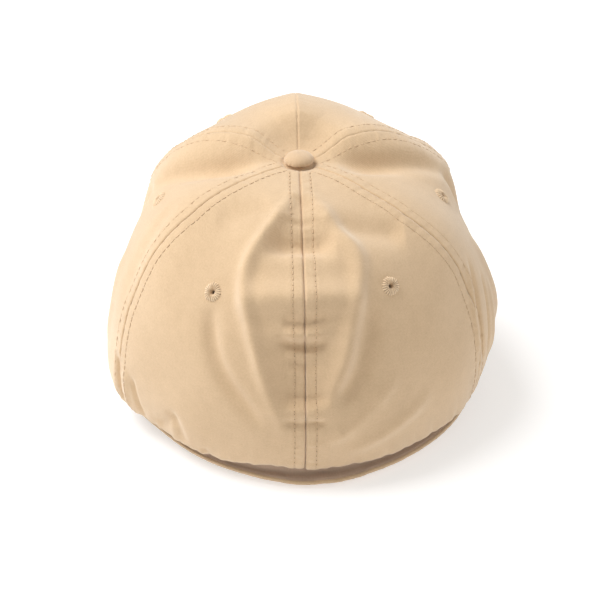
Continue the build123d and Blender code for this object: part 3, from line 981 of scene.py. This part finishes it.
# ---- eyelets ----
# Section of an eyelet's worked edge, from deep in the hole out over the cloth: radius, height.
EYELET_SECTION = np.array(
    [
        (0.45, -2.3), (0.75, -1.6), (0.95, -0.6), (1.1, 0.2), (1.4, 0.66), (1.9, 0.86),
        (2.5, 0.88), (3.1, 0.78), (3.6, 0.55), (4.0, 0.20), (4.3, -0.30),
    ]
)
EYELET_TURNS = 22


def make_eyelet(kind, side, seed):
    """Ring of radial thread worked round a punched hole."""
    az, share = EYELETS[f"{kind}_{side}"]
    az, share = np.array([radians(az)]), np.array([share])
    centre = cloth(az, share)[0]
    n = surface_normal(cloth, az, share)[0]
    side_dir = unit(np.cross([0.0, 0.0, 1.0], n))
    up = np.cross(n, side_dir)
    local = np.random.default_rng(seed)
    turns = full_turn(EYELET_TURNS * 7)
    radii, heights = EYELET_SECTION[:, :1], EYELET_SECTION[:, 1:]
    bundle = local.uniform(0.7, 1.3, EYELET_TURNS)[(turns / (2 * pi) * EYELET_TURNS).astype(int)]
    ridge = np.abs(np.sin(turns * EYELET_TURNS / 2)) * bundle
    uneven = 0.035 * ripple(turns, seed, (2 * pi / 3, 2 * pi / 5, 2 * pi / 11))
    r = radii * (1 + uneven * ramp(radii, 1.5, 3.8))
    r = r + 0.16 * (ridge - 0.6) * ramp(radii, 3.0, 4.0)
    h = heights + 0.42 * (ridge - 0.6) * ramp(radii, 0.9, 1.5)
    squeeze = 1 + 0.04 * local.normal()
    points = (
        centre
        + (r * np.cos(turns) * squeeze)[..., None] * side_dir
        + (r * np.sin(turns) / squeeze)[..., None] * up
        + h[..., None] * n
    )
    # u marks the turns and v the hole, where the eyelet material paints shade.
    uv = stacked(np.clip(ridge / bundle, 0, 1), ramp(radii, 0.6, 1.0))
    name = f"eyelet_{kind}_{side}"
    obj = grid_object(f"{name}_thread", points, uv, wrap=True)
    own(obj, EYELET_THREAD, "eyelet_thread", name)


for seed, (kind, side) in enumerate(((k, s) for k in PANELS for s in SIDES), start=60):
    make_eyelet(kind, side, seed)


def make_button():
    """Twill gathered over the domed button, pleated where it turns under."""
    top = TOP_HEIGHT - BUTTON_SINK
    s = np.linspace(0, 1, 34)
    turn = full_turn(120)
    dome = np.minimum(s / 0.80, 1)
    r = BUTTON_RADIUS * np.sin(dome * pi / 2) ** 0.92
    z = top + BUTTON_RIM + (BUTTON_HEIGHT - 1.45) * np.cos(dome * pi / 2) ** 0.95
    under = np.maximum(s - 0.80, 0) / 0.20
    r = r - 2.4 * under**0.6
    z = z - BUTTON_RIM * under**1.2
    wave = ripple(turn, 71, (2 * pi / 17, 2 * pi / 23, 2 * pi / 9))
    pleat = 0.13 * wave[None, :] * ramp(dome, 0.72, 1.0)[:, None]
    dent = 1 + 0.012 * np.sin(2 * turn + 0.6)
    radius = np.maximum(r[:, None] * dent[None, :] + pleat, 0.02)
    x = radius * np.sin(turn)
    y = radius * np.cos(turn)
    height = z[:, None] - 0.012 * y + 0.05 * ripple(x + 0.6 * y, 72, (6.0, 9.0))
    uv = stacked(x * 1.1, y * 1.1)
    obj = grid_object("button_cover_cloth", stacked(x, y, height), uv, wrap=True)
    solidify(obj, 0.5)
    own(obj, BUTTON_CLOTH, "button_twill", "button_cover")


make_button()


# ---- visor ----
def ring_front(x, inset):
    """Front edge of the hem ring at x, drawn in by inset."""
    side = np.minimum(np.abs(x) / (HALF_WIDTH - inset), 1.0) ** FRONT_OVAL
    return -(FRONT_LENGTH - inset) * (1 - side) ** (1.0 / FRONT_OVAL)


def visor_point(x, v, off):
    """Point in space of a flat visor position; off counts outwards from the middle layer."""
    w = visor_bend(x, off)
    y = -FRONT_LENGTH - v * cos(VISOR_TILT) - w * sin(VISOR_TILT)
    return stacked(x, y, VISOR_ROOT_Z - v * sin(VISOR_TILT) + w * cos(VISOR_TILT))


def visor_outline(grow, count=260):
    """Half of the visor's outer edge as flat positions, from the centre to the corner."""
    a = np.linspace(pi / 2, 0.0, count)
    power = 2.0 / VISOR_OVAL
    front_x = (VISOR_HALF + grow) * np.cos(a) ** power
    front_v = (VISOR_LENGTH + grow) * np.sin(a) ** power
    corner = to_visor(VISOR_CORNER, ring_front(VISOR_CORNER, 0.0), 0.0)
    t = np.linspace(0, 1, count // 2)[1:]
    side_x = VISOR_HALF + grow - (VISOR_HALF - VISOR_CORNER) * t * t
    return np.concatenate([stacked(front_x, front_v), stacked(side_x, corner * t)])


def even(line, count):
    """Resamples a flat line to evenly spaced points."""
    length = length_along(line)
    return at_length(np.linspace(0, length[-1], count), length, line)


def mirrored(half):
    """Whole line from one half that starts on the centre line."""
    other = half[::-1] * [-1.0, 1.0]
    return np.concatenate([other[:-1], half])


def edge_distance(flat):
    """Distance of flat positions from the visor's outline, some thousands at a time."""
    p = flat.reshape(-1, 2)
    parts = np.array_split(p, len(p) // 4000 + 1)
    return np.concatenate([to_line(part, OUTLINE)[0] for part in parts]).reshape(flat.shape[:-1])


OUTLINE = mirrored(even(visor_outline(1.0), 110))
ROOT_X = np.linspace(0, VISOR_CORNER - 0.4, 400)
ROW_AT = [5.5 + VISOR_ROW_STEP * k for k in range(VISOR_ROWS)]


def visor_grid():
    """Flat positions from the root under the crown out to the rolled edge."""
    root_y = ring_front(ROOT_X, 1.6)
    root = mirrored(even(stacked(ROOT_X, to_visor(ROOT_X, root_y, 0.0)), 110))
    t = np.linspace(0, 1, 150)
    t = np.where(t > 0.9, 0.9 + 0.1 * np.sin((t - 0.9) / 0.1 * pi / 2), t)[:, None, None]
    return root[None] * (1 - t) + OUTLINE[None] * t


def make_visor_cover(name, sign):
    """Upper (sign 1) or lower (sign -1) cloth of the visor, rolled to the edge seam."""
    flat = visor_grid()
    inside = edge_distance(flat)
    roll = np.minimum(inside / COVER_OUT, 1)
    off = COVER_OUT * np.sqrt(np.maximum(1 - (1 - roll) ** 2, 0))
    for row in ROW_AT:
        off = off - 0.28 * hill(inside - row, 0.75)
    x, v = flat[..., 0], flat[..., 1]
    off = off + 0.10 * ripple(x * 0.7 + v, 81, (3.9, 6.1)) * np.exp(-inside / 12.0)
    points = visor_point(x, v, sign * off)
    obj = grid_object(f"{name}_cloth", points, flat, away=(0.0, -FRONT_LENGTH, -900.0 * sign))
    solidify(obj, 0.6)
    own(obj, VISOR_CLOTH, "visor_twill", name)


make_visor_cover("visor_top_cover", 1.0)
make_visor_cover("visor_under_cover", -1.0)


def visor_row(inset, sign):
    """Runs of one stitch row, parallel to the visor's edge and clear of the crown."""
    tangent = unit(np.gradient(OUTLINE, axis=0))
    inward = stacked(tangent[:, 1], -tangent[:, 0])
    inward = inward * np.sign((-OUTLINE * inward).sum(1, keepdims=True))
    line = OUTLINE + inward * inset
    clear = edge_distance(line) > inset - 0.4
    points = visor_point(*line.T, sign * (COVER_OUT - 0.05))
    clear &= points[:, 1] < ring_front(line[:, 0], 0.0) - 1.4
    above = visor_point(*line.T, sign * (COVER_OUT + 1.0))
    return points[clear], (above - points)[clear]


for name, sign in (("visor_top_stitches", 1.0), ("visor_under_stitches", -1.0)):
    rows = [visor_row(inset, sign) for inset in ROW_AT]
    make_stitches(name, [r for r in rows if len(r[0]) > 4], "visor_twill")


# ---- sweatband ----
def band_wall(az, z, depth):
    """Radius of a layer that lies depth inside the settled crown wall at height z."""
    hem = hem_height(az)
    high = np.clip((z - hem) / (TOP_HEIGHT - hem), 0, 1)
    r = ring_radius(az) * (1 - high**BAND_PROFILE) ** (1 / BAND_PROFILE)
    return r - depth + settle(around(r, az, z))


# Where the band's folded lip shows: (degrees, mm outside the wall, mm lifted).
LIP = [
    (-180, -1, 0), (-75, -0.4, 0), (-60, 0.8, 0.8), (-50, 1.8, 1.5), (-40, 2.4, 1.9),
    (-30, 2.4, 1.9), (-19, 3, 1.4), (-10, 4.2, 0.7), (-3, 4.4, 0.4), (4, 3.7, 0.5),
    (12, 2.4, 1.1), (18, 1.6, 1.7), (29, 0.6, 2), (43, 0, 1.6), (55, -0.6, 0.8),
    (80, -0.8, 0), (180, -1, 0),
]
# Section of the lip from under its fold, out and back up the wall: share of the way it
# stands out, mm beyond that, mm above its low edge, share of its waviness.
LIP_SECTION = [
    (0, -0.6, 0.9, 0), (0, 0.2, 0.35, 0), (0.35, 0.4, 0.2, 0), (0.75, 0.5, 0.25, 0.2),
    (1, 0.75, 0.65, 0.3), (1, 1.05, 1.25, 0.6), (1, 0.75, 1.95, 1), (0.75, 0.4, 2.35, 1),
    (0.35, 0.3, 2.5, 0), (0, 0.2, 2.9, 0), (0, -0.1, 4.6, 0), (0, -0.2, 9, 0),
]
LIP_RIM = -8  # row of the finished band that stands out furthest
LIP_ROOT = -11  # row where the lip leaves the wall


def soften(values, count):
    """Running mean round a closed ring."""
    kernel = np.hanning(count + 2)[1:-1]
    wrapped = np.concatenate([values[-count:], values, values[:count]])
    return np.convolve(wrapped, kernel / kernel.sum(), "same")[count:-count]


def make_facing():
    """Sweatband: inner face, folded lower lip and the return up the wall."""
    turns = full_turn(420)
    reach, raised = (soften(read_places(LIP, turn_of(turns), k), 17) for k in (1, 2))
    low = lip_height(turns) + 0.15 + raised
    top = hem_height(turns) + BAND_HEIGHT
    wall = band_wall(turns, low, FACING_IN) + np.minimum(reach, 0)
    reach = np.maximum(reach, 0.5)
    rows = []
    for f in np.linspace(0, 1, 26):
        z = top + (low + 2.6 - top) * f
        ease = 0.25 * ripple(wall * turns, 90, (9.0, 17.0, 31.0)) * sin(pi * f)
        inner = band_wall(turns, z, FACING_OUT) + 0.1 + 0.3 * ease
        rows.append((inner * (1 - f**8) + (wall - 0.7) * f**8, z))
    sag = 0.30 * ripple(wall * turns, 91, (13.0, 29.0, 47.0)) * ramp(reach, 1.0, 4.0)
    for part, out, up, wave in LIP_SECTION:
        rows.append((wall + part * reach + out, low + up + wave * sag))
    rows.append((band_wall(turns, low + 13.0, FACING_IN), low + 13.0))
    points = np.array([around(r, turns, z) for r, z in rows])
    step = np.linalg.norm(np.diff(points, axis=0), axis=-1).mean(1)
    down = np.concatenate([[0.0], np.cumsum(step)])
    uv = stacked(wall * turns, down[:, None])
    obj = grid_object("sweatband_facing_cloth", points, uv, wrap=True)
    solidify(obj, 0.5, offset=0.0)
    own(obj, BAND_CLOTH, "sweatband_cloth", "sweatband_facing")
    make_piping(points[LIP_RIM], points[LIP_ROOT])


def make_piping(edge, inner):
    """Corded binding along the outer edge of the lip, in the crown's cloth."""
    out = unit((edge - inner) * [1, 1, 0])
    angle = full_turn(12)
    girth = length_along(edge)
    size = 0.95 + 0.06 * ripple(girth, 93, (2.9, 5.3))
    ring = np.cos(angle)[:, None] * out[:, None] + np.sin(angle)[:, None] * [0, 0, 1]
    points = edge[:, None] - 0.1 * out[:, None] + size[:, None, None] * ring
    points[..., 2] = np.maximum(points[..., 2], 0.1)
    total = len(edge) * len(angle)
    closed = grid_faces(len(edge) + 1, len(angle), wrap=True)
    faces = [tuple(k % total for k in face) for face in closed]
    obj = new_object("sweatband_edge_piping", points, faces, stacked(girth[:, None], angle))
    own(obj, CROWN, "sweatband_cloth")


def make_elastic():
    """Stretch band between the facing and the crown."""
    turns = full_turn(360)
    hem = hem_height(turns)
    low = np.maximum(lip_height(turns) + 3.6, hem) + hem_raise(turns) + ELASTIC_MARGIN
    top = hem + BAND_HEIGHT - ELASTIC_MARGIN
    z = low + (top - low) * np.linspace(0, 1, 12)[:, None]
    r = band_wall(turns, z, ELASTIC_DEPTH)
    web = around(r, turns, z)
    obj = grid_object("sweatband_elastic_web", web, stacked(r * turns, z), wrap=True)
    solidify(obj, 0.5, offset=0.0)
    own(obj, ELASTIC, "elastic_band", "sweatband_elastic")


make_facing()
make_elastic()

for node, material in (("visor_board", BOARD), ("button_shell", METAL), ("button_washer", METAL)):
    coat(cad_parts[node], material)


# ---- floor, light, camera ----
def make_stage():
    """Pale floor, soft key from high on the left, and a white surround."""
    bpy.ops.mesh.primitive_plane_add(size=12.0, location=(0.0, 0.0, -0.0004))
    floor = bpy.context.object
    floor.name = "floor"
    ground = Nodes(
        "floor_paper",
        Roughness=0.95,
        Specular_IOR_Level=0.1,
        Emission_Color=(1.0, 0.985, 0.965, 1.0),
        Emission_Strength=0.50,
    )
    grain = ground.noise(ground.place(), 3.0, 2.0)
    ground.finish(ground.mix(grain, (0.64, 0.64, 0.64), (0.66, 0.66, 0.66)))
    floor.data.materials.append(ground.mat)

    world = bpy.data.worlds.new("surround")
    bpy.context.scene.world = world
    world.use_nodes = True
    surround = world.node_tree.nodes["Background"].inputs
    surround["Color"].default_value = (1.0, 1.0, 1.0, 1.0)
    surround["Strength"].default_value = 0.42

    add_light("key", (0.82, -0.24, 1.50), 1.2, 30.0)
    add_light("left", (1.40, 0.10, 0.60), 0.9, 3.2)
    add_light("right", (-1.40, 0.00, 0.70), 0.9, 4.0)


def look(obj, place, target):
    """Puts a light or camera at a place, looking at a target."""
    obj.location = place
    obj.rotation_euler = (target - obj.location).to_track_quat("-Z", "Y").to_euler()


def add_light(name, place, size, power):
    """Round soft light that looks at the cap."""
    data = bpy.data.lights.new(name, "AREA")
    data.shape = "DISK"
    data.size = size
    data.energy = power
    look(placed(name, data), place, Vector((0.0, 0.0, 0.05)))


def make_camera():
    """The photograph's view: behind the cap, 30 degrees up."""
    target = Vector((0.0, 0.0, 0.052))
    turn, rise, distance = radians(1.8), radians(30.0), 0.82
    away = Vector((cos(rise) * sin(turn), cos(rise) * cos(turn), sin(rise)))
    data = bpy.data.cameras.new("camera")
    camera = placed("camera", data)
    look(camera, target + distance * away, target)
    data.sensor_width = 36.0
    data.lens = 104.3
    data.shift_x = 0.0017
    data.shift_y = -0.0308
    data.clip_start = 0.01
    bpy.context.scene.camera = camera


make_stage()
make_camera()
bpy.context.scene.view_settings.view_transform = "Standard"
